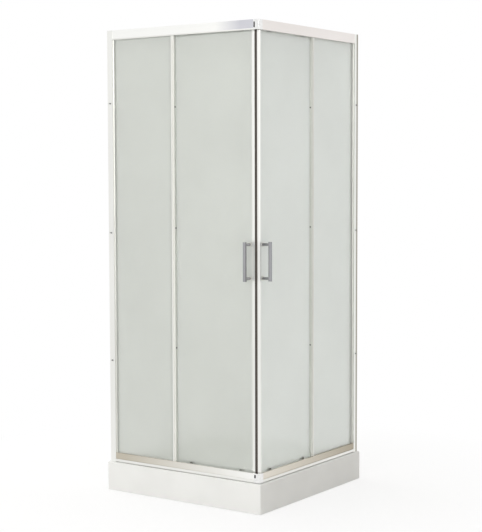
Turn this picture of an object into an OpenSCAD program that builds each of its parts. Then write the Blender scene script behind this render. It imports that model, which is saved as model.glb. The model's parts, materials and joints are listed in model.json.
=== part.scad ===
// Corner-entry shower enclosure: framed frosted screens on a square tray.
// The origin is on the floor under the middle of the tray, +Z up.
// The entry corner points to +X and -Y; the two walls stand at -X and +Y.
// A face is drawn once, in u (along the face, from the entry corner), v (inwards) and z.

/* [Footprint] */
// Side of the square tray
tray_w = 800; // [780:1:860]
// Outer face of the frame, inside the tray's edge
frame_setback = 10; // [8:0.5:16]
// Wall finish that covers the tray's two wall edges
wall_finish = 12; // [8:0.5:16]

/* [Tray] */
// Height of the tray's rim above the floor
tray_h = 125; // [118:1:150]
// Width of the flat rim around the basin
rim_w = 64; // [62:1:75]
// Depth of the basin below the rim
basin_depth = 45; // [38:1:48]
// Plan radius of the basin's corners
basin_corner_r = 70; // [40:1:110]
// Rounding between the basin's wall and its floor
basin_fillet = 20; // [12:1:24]
// Thickness of the acrylic shell
acrylic_t = 4; // [3.5:0.5:5]
// Thickness of the basin's floor
floor_t = 6; // [5.5:0.5:8]
// Fall of the basin's floor to the drain
floor_fall = 2.5; // [1:0.5:3]
// Width of that fall around the drain's flange
fall_w = 65; // [40:1:68]
// Gap between the skirt and the floor
skirt_gap = 2; // [1:0.5:4]
// Height of the turned-down edge on the wall sides
wall_edge_h = 40; // [25:1:60]
// Rounding of the rim's outer edge
rim_edge_r = 7; // [4:0.5:7]
// Thickness of the reinforcing board
board_t = 18; // [15:1:20]
// Distance from the tray's edge to the board
board_inset = 72; // [70:1:80]

/* [Tray support] */
// Section of the steel tubes
tube_s = 25; // [22:1:26]
// Wall of the steel tubes
tube_wall = 2; // [1.5:0.25:3]
// Distance from the tray's edge to the steel tubes
bar_inset = 80; // [74:1:90]
// Radius of a foot rod
rod_r = 5; // [4:0.5:6]
// Radius of a foot pad
pad_r = 25; // [20:1:30]
// Height of a foot pad
pad_h = 10; // [8:0.5:12]
// Height of a locknut
nut_h = 7; // [5:0.5:8]
// Width across the flats of a locknut
nut_af = 17; // [15:0.5:19]

/* [Drain] */
// Distance from the tray's two wall edges to the middle of the drain
drain_edge = 215; // [212:1:240]
// Radius of the drain's cut-out in the tray
drain_hole_r = 45; // [43:0.5:47]
// Radius of the drain's flange
flange_r = 57; // [54:0.5:60]
// Thickness of the drain's flange
flange_t = 2; // [1.5:0.25:3]
// Outer radius of the drain's neck
neck_r = 44.5; // [40:0.5:44.5]
// Wall of the drain's plastic parts
drain_wall = 3; // [2.5:0.25:4]
// Radius of the drain's pot
pot_r = 56; // [54:0.5:58]
// Height of the pot's underside above the floor
pot_bottom = 14; // [10:1:18]
// Outer radius of the waste outlet
outlet_r = 20; // [16:0.5:20]
// Length of the waste outlet beyond its collar
outlet_len = 38; // [30:1:42]
// Height and thickness of the collar between the pot and the outlet
collar_t = 3; // [2:0.5:4]
// Width of the channel in the board for the waste pipe
channel_w = 66; // [60:1:70]
// Radius of the lift-off cover
cover_r = 52; // [50:0.5:54]
// Thickness of the lift-off cover
cover_t = 3; // [2:0.5:4]
// Height that the cover lifts
cover_lift = 60; // [40:1:80]

/* [Frame] */
// Height of the enclosure above the tray's rim
screen_h = 1850; // [1750:5:2000]
// Depth of the rails, from the outer face inwards
rail_d = 50; // [50:0.5:56]
// Height of the top rail
top_rail_h = 40; // [40:0.5:48]
// Height of the bottom rail
bottom_rail_h = 40; // [38:0.5:46]
// Wall of the aluminium profiles
prof_t = 1.5; // [1.25:0.05:1.8]
// Depth of the box in front of the fixed glass
bead_d = 8; // [7:0.25:9]
// Width of the wall profile on the face
wall_profile_w = 28; // [26:0.5:34]
// Depth of the wall profile
wall_profile_d = 27; // [27:0.5:30]
// Gap between the telescoping wall and jamb profiles
slip_gap = 0.2; // [0.1:0.05:0.3]
// Distance from the wall profile's mouth to the web of the jamb profile
jamb_web = 11; // [10:0.5:12]
// Distance that the jamb's slides reach into the wall profile
slide_reach = 22; // [20:0.5:23]
// Distance that the jamb's legs reach out of the wall profile
leg_out = 2; // [1:0.5:4]
// Depth of the recessed band in the rails' outer face
band_d = 0.8; // [0.4:0.1:1]
// Height of the top rail's upper lip
band_lip = 9; // [6:0.5:12]
// Height of the top rail's lower lip
band_low = 5; // [4:0.5:8]
// Height of the gap under the front of the bottom rail
rail_gap = 3; // [2:0.25:4]
// Height of the bottom rail's ledge
ledge_h = 11; // [8:0.5:13]
// Distance that the ledge stands out
ledge_out = 1.2; // [0.6:0.1:2]
// Height of the drip groove above that ledge
drip_h = 2.5; // [1:0.25:3]
// Depth of that groove
drip_d = 2.5; // [1.5:0.25:4]
// Height of the bottom rail's wall behind the fixed glass
pocket_h = 24; // [20:0.5:26]

/* [Corner connectors] */
// Length of a connector on each face
corner_len = 27; // [25:0.5:30]
// Wall of a connector, from the outer face inwards
corner_wall = 14; // [12:0.5:15]
// Thickness of a connector's plate
corner_plate = 3; // [2:0.5:4]
// Length of the plugs in the rails
plug_len = 30; // [20:1:40]
// Thickness of these plugs
plug_t = 6; // [4:0.25:6.1]
// Width of the slot in the left face
slot_w = 7; // [5:0.5:8]
// Height of the slot in the top connector
slot_top_h = 22; // [15:1:24]
// Height of the slot in the bottom connector
slot_bottom_h = 13; // [9:1:14]
// Depth of these slots
slot_d = 6; // [4:0.5:8]
// Side of the small square cap beside the slot
cap_s = 11; // [9:0.5:12]
// Height of that cap
cap_t = 0.8; // [0.5:0.1:1.2]

/* [Glass] */
// Thickness of the glass
glass_t = 5; // [4:0.5:5.5]
// Thickness of the gasket on each side of the fixed glass
gasket_t = 0.8; // [0.6:0.05:1]
// Distance from the entry corner to the left fixed stile
stile_left_u = 426; // [420:1:430]
// Distance from the entry corner to the right fixed stile
stile_right_u = 404; // [398:1:410]
// Width of the fixed stile
stile_w = 15.5; // [14:0.5:20]
// Width of the lip along the fixed stile's wall side
stile_lip_w = 7; // [5:0.5:8]
// Distance that this lip stands out of the stile
stile_lip_out = 3.5; // [2:0.25:6]
// Distance that the fixed stile's other edge stands out
stile_rim_out = 1.5; // [0.5:0.25:3]

/* [Doors] */
// Clearance between the fixed stile and the door glass
door_gap = 2.9; // [2.6:0.1:3.2]
// Overlap of a door's glass behind the fixed stile
door_overlap = 30; // [27:1:34]
// Travel of a door
door_travel = 285; // [260:1:286]
// Width of the left door's leading stile
lead_w = 13.5; // [12.5:0.5:16]
// Depth of the leading stiles
lead_d = 12.5; // [12:0.25:13]
// Clearance of the leading stiles behind the rails' pocket
lead_gap = 0.9; // [0.6:0.1:1.1]
// Wall of the leading stiles beside the glass
lead_wall = 2; // [1.5:0.25:2.5]
// Depth that a pane enters its leading stile
lead_grip = 8; // [7:0.5:8.5]
// Depth that the leading stiles reach into the rails
lead_reach = 12; // [8:0.5:14]
// Distance from the right face's plane to the corner post's outer side
post_out = 10; // [9:0.5:12]
// Width of the corner post that shows on the left face
post_w = 12; // [11:0.5:14]
// Thickness of the left door's magnetic seal
seal_left_t = 3.9; // [3.5:0.1:6]
// Thickness of the right door's magnetic seal over its post
seal_right_t = 2; // [1.5:0.1:3]
// Width of the magnetic seals
seal_w = 9; // [7:0.5:10]
// Depth of the right seal's leg beside the post
seal_leg = 3; // [2.5:0.25:3.5]
// Gap between the two magnetic seals when the doors are shut
seal_gap = 0.4; // [0.3:0.05:0.8]
// Width of the left seal's key in its stile
seal_key_w = 3; // [2:0.25:4]
// Depth of that key
seal_key_d = 1.5; // [1:0.25:2]
// Length of the trailing seal's clip on the glass
tail_grip = 8; // [6:0.5:10]
// Wall of the trailing seal
tail_t = 1.3; // [1:0.1:1.5]

/* [Handles] */
// Height of the handles' middle above the tray's rim
handle_z = 893; // [800:1:1000]
// Distance from the entry corner to the left door's handle
handle_left_u = 58; // [57:0.5:75]
// Distance from the entry corner to the right door's handle
handle_right_u = 52; // [42:0.5:75]
// Distance between a handle's posts
handle_pitch = 136; // [110:1:180]
// Length of a handle's bar
handle_len = 158; // [150:1:200]
// Width of the bar
bar_w = 12; // [10:0.5:14]
// Depth of the bar
bar_d = 12; // [10:0.5:13]
// Rounding of the bar's edges
bar_edge_r = 2; // [1:0.25:4]
// Distance from the glass to the middle of the bar
handle_out = 38; // [32:0.5:45]
// Radius of the handle's posts
post_r = 5.5; // [4.5:0.1:5.9]
// Radius of the handle's round bases
base_r = 8.5; // [7:0.25:9]
// Thickness of those bases
base_t = 3; // [2:0.25:4]

/* [Rollers] */
// Distance from the entry corner to the front rollers
roller_front_u = 107; // [100:1:120]
// Distance from the entry corner to the rear rollers
roller_rear_u = 357; // [340:1:365]
// Radius of a top wheel on its track
top_wheel_r = 11; // [10:0.25:11.5]
// Radius of a bottom wheel on its track
bottom_wheel_r = 8; // [7:0.25:8.5]
// Height of a wheel's flanges over its tread
wheel_flange = 1.5; // [1:0.1:1.8]
// Width of a wheel
wheel_w = 8; // [7:0.25:8.5]
// Width of the groove in a wheel
groove_w = 3; // [2.6:0.1:4]
// Width of the track's ridge
ridge_w = 2; // [1.5:0.1:2.2]
// Height of the track's ridge on the top rail
ridge_h = 1.5; // [1.2:0.1:2.5]
// Height of the ridge in the bottom rail
bottom_ridge_h = 3.5; // [3:0.25:5]
// Distance from the top of the frame to the upper track
track_drop = 33; // [31:0.5:34]
// Gap between a wheel and its track
wheel_gap = 0.3; // [0.25:0.05:0.4]
// Radius of a roller's axle
axle_r = 3; // [2.5:0.1:3.2]
// Radial running clearance of a wheel on its axle
run_clear = 0.05; // [0.03:0.01:0.08]
// Thickness of a roller bracket
bracket_t = 3; // [2.5:0.25:3.5]
// Width of a roller bracket
bracket_w = 28; // [24:0.5:32]
// Radius of the clamp discs on the outer side of the glass
disc_r = 7.5; // [6.5:0.25:9]
// Thickness of these discs
disc_t = 1.9; // [1.5:0.1:2]
// Distance from the top of the frame to the middle of the top clamp discs
top_disc_drop = 31; // [30:0.5:32]
// Height of the bottom clamp discs' middle above the bottom rail's top
disc_rise = -3.5; // [-4:0.5:4]

/* [Fasteners] */
// Radius of the wall-screw holes
wall_hole_r = 3; // [2.5:0.1:3.5]
// Distance between one wall-screw hole and the next
wall_hole_pitch = 500; // [400:5:560]
// Distance from the top to the upper jamb screw
jamb_screw_drop = 308; // [250:1:400]
// Distance between the jamb screws
jamb_screw_pitch = 550; // [400:5:600]
// Distance from the top to the upper stile screw
stile_screw_drop = 331; // [250:1:400]
// Distance between the stile screws
stile_screw_pitch = 500; // [400:5:560]
// Radius of a frame screw's head
head_r = 3.4; // [3:0.1:4]
// Height of a frame screw's head
head_h = 1.8; // [1.2:0.1:2.5]
// Radius of a frame screw's shank
shank_r = 1.9; // [1.5:0.1:2.2]
// Length of the adjusting slots in the wall profile
adjust_len = 16; // [12:0.5:18]

/* [Hidden] */
$fn = 48;
// Amount by which a cutting body passes the face that it cuts
cut = 1;

acrylic_col = [0.93, 0.94, 0.93];
alu_col = [0.88, 0.88, 0.87];
glass_col = [0.84, 0.86, 0.83];
chrome_col = [0.93, 0.93, 0.92];
handle_col = [0.58, 0.58, 0.59];
magnet_col = [0.28, 0.25, 0.23];
rubber_col = [0.55, 0.56, 0.55];
steel_col = [0.6, 0.62, 0.64];
board_col = [0.75, 0.62, 0.45];
nylon_col = [0.9, 0.9, 0.88];

// Heights
rail_top = tray_h + screen_h;
basin_z = tray_h - basin_depth;
board_top = basin_z - floor_t;
bar_top = board_top - board_t;
bar_bottom = bar_top - tube_s;
drain_z = basin_z - floor_fall;
flange_top = drain_z + flange_t;
top_rail_low = rail_top - top_rail_h;
bottom_rail_top = tray_h + bottom_rail_h;

// Plan
half = tray_w / 2;
drain_off = half - drain_edge;
corner = half - frame_setback;
face_len = tray_w - frame_setback - wall_finish;
jamb_u = face_len - wall_profile_w;
basin_w = tray_w - 2 * rim_w;
bar_len = tray_w - 2 * bar_inset;
foot_off = bar_len / 2 - tube_s / 2;
board_w = tray_w - 2 * board_inset;
board_hole_r = flange_r + 6;

// Layers of a face, from the outer plane inwards
glass_v = bead_d + prof_t + gasket_t;
pocket_v = glass_v + glass_t + gasket_t;
pocket_back = pocket_v + prof_t;
door_v = pocket_back + door_gap;
door_back = door_v + glass_t;
lead_v = pocket_back + lead_gap;
lead_back = lead_v + lead_d;
bracket_v = door_back + bracket_t;
track_v = rail_d - prof_t - 7.5;
wheel_v = track_v - wheel_w / 2;
boss_end = wheel_v - 0.3;
lip_v = track_v - 5.5;

// Fixed glass
pane_off = prof_t + gasket_t;
pane_u1 = jamb_u + jamb_web - gasket_t;
pane_z0 = tray_h + prof_t + gasket_t;
pane_z1 = rail_top - prof_t - gasket_t - 2;

// Doors: the right door's stile is the corner post, the left door shuts against it
post_back = door_back + lead_wall;
seal_right_u = post_back + seal_right_t;
seal_left_u = seal_right_u + seal_gap;
lead_left_u = seal_left_u + seal_left_t;
door_left_u = lead_left_u + lead_w - lead_grip;
door_right_u = lead_back - lead_grip;
end_left_u = stile_left_u + door_overlap;
end_right_u = stile_right_u + door_overlap;
door_z0 = tray_h + 14;
door_z1 = rail_top - 8;
stile_z0 = bottom_rail_top - lead_reach;
stile_z1 = top_rail_low + lead_reach;

// Rollers
lip_z = rail_top - track_drop;
ridge_z = lip_z + ridge_h;
top_wheel_z = ridge_z + wheel_gap + top_wheel_r;
bottom_ridge_z = tray_h + prof_t + bottom_ridge_h;
bottom_wheel_z = bottom_ridge_z + wheel_gap + bottom_wheel_r;
top_disc_z = rail_top - top_disc_drop;
bottom_disc_z = bottom_rail_top + disc_rise;
roller_us = [roller_front_u, roller_rear_u];
clamp_r = 4;
clamp_nut_r = 6.5;
clamp_nut_h = 3.5;
bracket_over = clamp_nut_r + 1.5;
boss_r = axle_r + 2;
axle_head_r = axle_r + 1.8;
axle_head_t = 2;
hole_clear = 0.1;
glass_hole_clear = 0.8;
stop_len = 8;
stop_h = 18;

// Handles
handle_mid = tray_h + handle_z;
bar_v = door_v - handle_out;
handle_zs = [handle_mid - handle_pitch / 2, handle_mid + handle_pitch / 2];
handle_screw_r = 2.5;
handle_screw_len = 14;
rosette_t = 3;

jamb_screw_zs = [for (i = [0:2]) rail_top - jamb_screw_drop - i * jamb_screw_pitch];
stile_screw_zs = [for (i = [0:2]) rail_top - stile_screw_drop - i * stile_screw_pitch];
adjust_u = jamb_u + wall_profile_w / 2 + 1;
adjust_w = 2 * shank_r + 1.2;
stile_screw_v = (bead_d + pocket_back) / 2;
wall_hole_v = wall_profile_d / 2;
wall_mid_z = tray_h + screen_h / 2;
wall_hole_zs = [for (i = [-1.5:1:1.5]) wall_mid_z + i * wall_hole_pitch];

// A face's own coordinates: u runs from the entry corner to the wall, v runs inwards
module left_face() { translate([corner, -corner, 0]) mirror([1, 0, 0]) children(); }
module right_face() { mirror([1, 1, 0]) left_face() children(); }

module block(u0, u1, v0, v1, z0, z1) {
    translate([u0, v0, z0]) cube([u1 - u0, v1 - v0, z1 - z0]);
}

// A round bar along v
module pin(u, z, r, v0, v1) {
    translate([u, v0, z]) rotate([-90, 0, 0]) cylinder(r = r, h = v1 - v0);
}

// A round bar along u at the middle of a fixed stile's side
module side_pin(u, z, r, from, to) {
    translate([u + from, stile_screw_v, z]) rotate([0, 90, 0]) cylinder(r = r, h = to - from);
}

// The basin's hollow: upright walls, rounded where they meet the floor
module basin() {
    turn = basin_w / 2 - basin_corner_r;
    flat_r = basin_corner_r - basin_fillet;
    side = [for (a = [0:15:90]) [flat_r + basin_fillet * sin(a), basin_fillet * (1 - cos(a))]];
    hull() for (x = [-turn, turn], y = [-turn, turn]) translate([x, y, basin_z])
        rotate_extrude($fn = 72) polygon(concat([[0, 0]], side, [[basin_corner_r, tray_h], [0, tray_h]]));
}

module rounded_bar(w, d, r) {
    square([w - 2 * r, d], center = true);
    square([w, d - 2 * r], center = true);
    for (x = [-1, 1], y = [-1, 1])
        translate([x * (w / 2 - r), y * (d / 2 - r)]) circle(r);
}

module rounded_square(w, r) {
    rounded_bar(w, w, r);
}

module at_drain(z) { translate([-drain_off, drain_off, z]) children(); }

module at_feet() {
    for (x = [-1, 1], y = [-1, 1]) translate([x * foot_off, y * foot_off, 0]) children();
    children();
}

// Tray

module tray_outline() {
    hull() {
        for (x = [-1, 1], y = [-1, 1])
            translate([x * (half - rim_edge_r), y * (half - rim_edge_r), 0]) {
                translate([0, 0, skirt_gap]) cylinder(r = rim_edge_r, h = cut, $fn = 32);
                translate([0, 0, tray_h - rim_edge_r]) sphere(r = rim_edge_r, $fn = 32);
            }
    }
}

module tray_shell() {
    inner = half - acrylic_t;
    under_rim = tray_h - acrylic_t;
    color(acrylic_col) difference() {
        tray_outline();
        // Hollow under the rim, between the skirts and the basin's wall
        difference() {
            translate([-inner, -inner, skirt_gap - cut])
                cube([2 * inner, 2 * inner, under_rim - skirt_gap + cut]);
            translate([0, 0, board_top])
                linear_extrude(tray_h) rounded_square(basin_w + 2 * acrylic_t, basin_corner_r + acrylic_t);
        }
        // The wall sides have only a short turned-down edge
        translate([-half - cut, -inner, skirt_gap - cut])
            cube([acrylic_t + 2 * cut, tray_w, tray_h - wall_edge_h - skirt_gap + cut]);
        translate([-half - cut, inner - cut, skirt_gap - cut])
            cube([tray_w - acrylic_t + cut, acrylic_t + 2 * cut, tray_h - wall_edge_h - skirt_gap + cut]);
        basin();
        at_drain(drain_z)
            cylinder(r1 = flange_r + 3, r2 = flange_r + fall_w, h = floor_fall + 0.01, $fn = 96);
        at_drain(0) cylinder(r = drain_hole_r, h = tray_h, $fn = 96);
    }
}

module tray_base_board() {
    color(board_col) difference() {
        translate([0, 0, bar_top]) linear_extrude(board_t) rounded_square(board_w, basin_corner_r);
        at_drain(0) cylinder(r = board_hole_r, h = tray_h, $fn = 96);
        at_drain(0) translate([-half, -channel_w / 2, 0]) cube([half, channel_w, tray_h]);
    }
}

module tray_support_bars() {
    bore = tube_s - 2 * tube_wall;
    color(steel_col) difference() {
        for (y = [-1, 0, 1]) translate([-bar_len / 2, y * foot_off - tube_s / 2, bar_bottom])
            cube([bar_len, tube_s, tube_s]);
        for (y = [-1, 0, 1]) translate([-bar_len / 2 - cut, y * foot_off - bore / 2, bar_bottom + tube_wall])
            cube([bar_len + 2 * cut, bore, bore]);
        at_feet() translate([0, 0, bar_bottom - cut])
            cylinder(r = rod_r + hole_clear, h = tube_wall + 2 * cut);
    }
}

module tray_foot_rods() {
    rod_z0 = pad_h / 2;
    color(steel_col) at_feet() translate([0, 0, rod_z0])
        cylinder(r = rod_r, h = bar_top - tube_wall - 2 - rod_z0);
}

module tray_foot_pads() {
    color([0.2, 0.2, 0.21]) at_feet() difference() {
        union() {
            cylinder(r = pad_r, h = pad_h / 2);
            cylinder(r1 = pad_r, r2 = rod_r + 4, h = pad_h);
        }
        translate([0, 0, pad_h / 2]) cylinder(r = rod_r + run_clear, h = pad_h);
    }
}

module tray_foot_locknuts() {
    color(steel_col) at_feet() for (z = [bar_bottom - nut_h, bar_bottom + tube_wall])
        translate([0, 0, z]) difference() {
            cylinder(d = nut_af / cos(30), h = nut_h, $fn = 6);
            translate([0, 0, -cut]) cylinder(r = rod_r + run_clear, h = nut_h + 2 * cut);
        }
}

// Drain

module ring(r_in, r_out, h) {
    difference() {
        cylinder(r = r_out, h = h, $fn = 96);
        translate([0, 0, -cut]) cylinder(r = r_in, h = h + 2 * cut, $fn = 96);
    }
}

gasket_h = 2.5;
pot_top = board_top - gasket_h;
neck_bottom = pot_top - 18;

module drain_flange() {
    color(chrome_col) {
        at_drain(drain_z) ring(neck_r - drain_wall, flange_r, flange_t);
        at_drain(neck_bottom) ring(neck_r - drain_wall, neck_r, drain_z - neck_bottom);
    }
}

module drain_gasket() {
    color(rubber_col) at_drain(pot_top) ring(drain_hole_r, pot_r, gasket_h);
}

module drain_body() {
    outlet_z = pot_bottom + outlet_r + 2;
    shoulder = pot_r + collar_t;
    color([0.82, 0.83, 0.84]) difference() {
        union() {
            at_drain(pot_bottom) cylinder(r = pot_r, h = pot_top - pot_bottom, $fn = 96);
            at_drain(outlet_z) rotate([0, -90, 0]) {
                cylinder(r = outlet_r + collar_t, h = shoulder, $fn = 64);
                cylinder(r = outlet_r, h = shoulder + outlet_len, $fn = 64);
            }
        }
        at_drain(pot_bottom + drain_wall)
            cylinder(r = pot_r - drain_wall, h = pot_top - pot_bottom - 2 * drain_wall, $fn = 96);
        at_drain(pot_bottom + drain_wall) cylinder(r = neck_r + hole_clear, h = tray_h, $fn = 96);
        at_drain(outlet_z) rotate([0, -90, 0])
            cylinder(r = outlet_r - drain_wall, h = shoulder + outlet_len + cut, $fn = 64);
    }
}

module drain_cover() {
    seat = 0.3;
    nub_h = 1.5;
    plate_z = flange_top + seat + nub_h;
    guide_r = neck_r - drain_wall - 2;
    color(chrome_col) at_drain(0) {
        translate([0, 0, plate_z]) cylinder(r = cover_r, h = cover_t, $fn = 96);
        translate([0, 0, plate_z - 16]) ring(guide_r - 2, guide_r, 16);
        for (a = [45:90:315]) rotate([0, 0, a]) translate([flange_r - 9, 0, flange_top + seat])
            cylinder(r = 3, h = nub_h);
    }
}

// Frame of one face, drawn in u, v and z

module wall_profile() {
    half_run = (adjust_len - adjust_w) / 2;
    color(alu_col) difference() {
        block(jamb_u, face_len, 0, wall_profile_d, tray_h, rail_top);
        block(jamb_u - cut, face_len - 2, prof_t, wall_profile_d - prof_t, tray_h - cut, rail_top + cut);
        for (z = wall_hole_zs) translate([face_len - 2 - cut, wall_hole_v, z])
            rotate([0, 90, 0]) cylinder(r = wall_hole_r, h = 2 + 2 * cut);
        for (z = jamb_screw_zs) {
            block(adjust_u - half_run, adjust_u + half_run, -cut, prof_t + cut,
                z - adjust_w / 2, z + adjust_w / 2);
            for (s = [-1, 1]) pin(adjust_u + s * half_run, z, adjust_w / 2, -cut, prof_t + cut);
        }
    }
}

// An H with two slides in the wall profile and two legs around the glass; in front, a lip closes it
module jamb_profile() {
    front = prof_t + slip_gap;
    back = wall_profile_d - front;
    slide_u = jamb_u + 1;
    slide_end = jamb_u + slide_reach;
    web_u = jamb_u + jamb_web;
    color(alu_col) difference() {
        union() {
            block(slide_u, slide_end, front, front + prof_t, tray_h, rail_top);
            block(slide_u, slide_end, back - prof_t, back, tray_h, rail_top);
            block(web_u, web_u + prof_t, front, back, tray_h, rail_top);
            block(slide_u, slide_u + prof_t, front, bead_d + prof_t, tray_h, rail_top);
            for (v = [bead_d, pocket_v]) {
                block(jamb_u, web_u + prof_t, v, v + prof_t, tray_h, rail_top);
                block(jamb_u - leg_out, web_u, v, v + prof_t, bottom_rail_top, top_rail_low);
            }
        }
        for (z = jamb_screw_zs) pin(adjust_u, z, shank_r + hole_clear, front - cut, front + prof_t + cut);
    }
}

module fixed_glass(stile_u) {
    color(glass_col, 0.9) block(stile_u + pane_off, pane_u1, glass_v, glass_v + glass_t, pane_z0, pane_z1);
}

module glazing_gasket(stile_u) {
    g = gasket_t;
    pane_u0 = stile_u + pane_off;
    color(rubber_col) difference() {
        block(pane_u0 - g, pane_u1 + g, glass_v - g, glass_v + glass_t + g, pane_z0 - g, pane_z1 + g);
        block(pane_u0, pane_u1, glass_v, glass_v + glass_t, pane_z0, pane_z1);
        block(stile_u + stile_w + g, jamb_u - leg_out - g, glass_v - g - cut, pocket_v + cut,
            bottom_rail_top + g, top_rail_low - g);
    }
}

// A channel for the glass, with a groove between its rim and its lip in front
module fixed_stile(stile_u) {
    end_u = stile_u + stile_w;
    lip_u = end_u - stile_lip_w;
    z0 = bottom_rail_top;
    z1 = top_rail_low;
    color(alu_col) difference() {
        union() {
            block(stile_u, end_u, bead_d, pocket_back, z0, z1);
            block(stile_u, stile_u + prof_t, bead_d - stile_rim_out, bead_d + prof_t, z0, z1);
            block(lip_u, end_u, bead_d - stile_lip_out, bead_d + prof_t, z0, z1);
        }
        block(stile_u + prof_t, end_u + cut, bead_d + prof_t, pocket_v, z0 - cut, z1 + cut);
        for (z = stile_screw_zs) side_pin(stile_u, z, shank_r + hole_clear, -cut, prof_t + cut);
    }
}

// The rails start at the connectors and are mitred behind them, where the two faces meet
module mitre(z0, z1) {
    translate([0, 0, z0]) linear_extrude(z1 - z0)
        polygon([[-cut, -cut], [rail_d + 2 * cut, rail_d + 2 * cut], [-cut, rail_d + 2 * cut]]);
}

module top_rail() {
    z0 = top_rail_low;
    lip_top = rail_top - band_lip;
    color(alu_col) difference() {
        union() {
            block(corner_len, jamb_u, 0, prof_t, z0, rail_top);
            block(corner_len, jamb_u, 0, rail_d, rail_top - prof_t, rail_top);
            block(corner_len, jamb_u, 0, bead_d + prof_t, z0, z0 + prof_t);
            block(corner_len, jamb_u, bead_d, bead_d + prof_t, z0, rail_top);
            block(corner_len, jamb_u, pocket_v, pocket_back, z0 + 10, rail_top);
            block(corner_len, jamb_u, rail_d - prof_t, rail_d, z0, rail_top);
            block(corner_len, jamb_u, lip_v, rail_d, lip_z - 2, lip_z);
            block(corner_len, jamb_u, track_v - ridge_w / 2, track_v + ridge_w / 2, lip_z - 1, ridge_z);
        }
        block(corner_len - cut, jamb_u + cut, -cut, band_d, z0 + band_low, lip_top);
        mitre(z0 - cut, rail_top + cut);
    }
}

module bottom_rail() {
    z1 = bottom_rail_top;
    low = tray_h + rail_gap;
    drip_z = low + ledge_h;
    color(alu_col) difference() {
        union() {
            block(corner_len, jamb_u, 0, prof_t, low, z1);
            block(corner_len, jamb_u, -ledge_out, prof_t, low, drip_z);
            block(corner_len, jamb_u, 0, bead_d + prof_t, low, low + prof_t);
            block(corner_len, jamb_u, bead_d, rail_d, tray_h, tray_h + prof_t);
            block(corner_len, jamb_u, 0, drip_d + prof_t, drip_z - prof_t, drip_z + drip_h + prof_t);
            block(corner_len, jamb_u, 0, bead_d + prof_t, z1 - prof_t, z1);
            block(corner_len, jamb_u, bead_d, bead_d + prof_t, tray_h, z1);
            block(corner_len, jamb_u, pocket_v, pocket_back, tray_h, tray_h + pocket_h);
            block(corner_len, jamb_u, rail_d - prof_t, rail_d, tray_h, tray_h + 22);
            block(corner_len, jamb_u, track_v - ridge_w / 2, track_v + ridge_w / 2, tray_h, bottom_ridge_z);
        }
        block(corner_len - cut, jamb_u + cut, -cut, drip_d, drip_z, drip_z + drip_h);
        mitre(tray_h - cut, z1 + cut);
    }
}

// Corner connectors: an L of two outer walls, a plate, and a plug for each rail's front box
module connector_arm(z0, z1, plug_z0, plug_z1) {
    clear = 0.2;
    plug_v = prof_t + clear;
    block(0, corner_len, 0, corner_wall, z0, z1);
    block(corner_len - cut, corner_len + plug_len, plug_v, plug_v + plug_t, plug_z0 + clear, plug_z1 - clear);
}

module connector(z0, z1, plug_z0, plug_z1, plate_z, slot_z0, slot_h, cap_z) {
    difference() {
        union() {
            left_face() connector_arm(z0, z1, plug_z0, plug_z1);
            right_face() connector_arm(z0, z1, plug_z0, plug_z1);
            left_face() block(0, corner_len, 0, corner_len, plate_z, plate_z + corner_plate);
            left_face() block(1, 1 + cap_s, -cap_t, cut, cap_z, cap_z + cap_s);
        }
        left_face() block(corner_len - 1 - slot_w, corner_len - 1, -cut, slot_d, slot_z0, slot_z0 + slot_h);
    }
}

module top_corner_connector() {
    color(chrome_col) connector(top_rail_low, rail_top, top_rail_low + prof_t, rail_top - prof_t,
        rail_top - corner_plate, rail_top - 10 - slot_top_h, slot_top_h, rail_top - 10 - cap_s);
}

// The bottom connector stands clear of the tray in front, as the rails do
module bottom_corner_connector() {
    low = tray_h + rail_gap;
    plug_z0 = low + ledge_h + drip_h + prof_t;
    slot_z0 = low + ledge_h + drip_h + 5;
    color(chrome_col) {
        difference() {
            connector(tray_h, bottom_rail_top, plug_z0, bottom_rail_top - prof_t,
                tray_h, slot_z0, slot_bottom_h, slot_z0 + slot_bottom_h - cap_s);
            left_face() block(-cut, corner_len + cut, -cut, bead_d, tray_h - cut, low);
            right_face() block(-cut, corner_len + cut, -cut, bead_d, tray_h - cut, low);
        }
        left_face() block(-ledge_out, corner_len, -ledge_out, cut, low, low + ledge_h);
        right_face() block(-ledge_out, corner_len, -ledge_out, cut, low, low + ledge_h);
    }
}

module frame_screws(stile_u) {
    color([0.5, 0.5, 0.5]) {
        for (z = jamb_screw_zs) {
            pin(adjust_u, z, head_r, -head_h, 0);
            pin(adjust_u, z, shank_r, -cut, prof_t + slip_gap + prof_t);
        }
        for (z = stile_screw_zs) {
            side_pin(stile_u, z, head_r, -head_h, 0);
            side_pin(stile_u, z, shank_r, -cut, prof_t - 0.1);
        }
    }
}

// Rubber stops on the track: one in front of the shut door, one behind the open door
module door_stops() {
    shut_u = roller_front_u - bracket_w / 2 - 0.5;
    open_u = roller_rear_u + door_travel + bracket_w / 2 + 0.5;
    color([0.25, 0.25, 0.26]) for (u = [shut_u - stop_len, open_u]) difference() {
        block(u, u + stop_len, lip_v, rail_d - prof_t, lip_z, lip_z + stop_h);
        block(u - cut, u + stop_len + cut, track_v - ridge_w / 2, track_v + ridge_w / 2,
            lip_z - cut, ridge_z);
    }
}

// Doors

module through_holes(handle_u) {
    for (u = roller_us, z = [top_disc_z, bottom_disc_z])
        pin(u, z, clamp_r + glass_hole_clear, door_v - cut, door_back + cut);
    for (z = handle_zs) pin(handle_u, z, handle_screw_r + glass_hole_clear, door_v - cut, door_back + cut);
}

module door_glass(lead_u, end_u, handle_u) {
    color(glass_col, 0.9) difference() {
        block(lead_u, end_u, door_v, door_back, door_z0, door_z1);
        through_holes(handle_u);
    }
}

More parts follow.
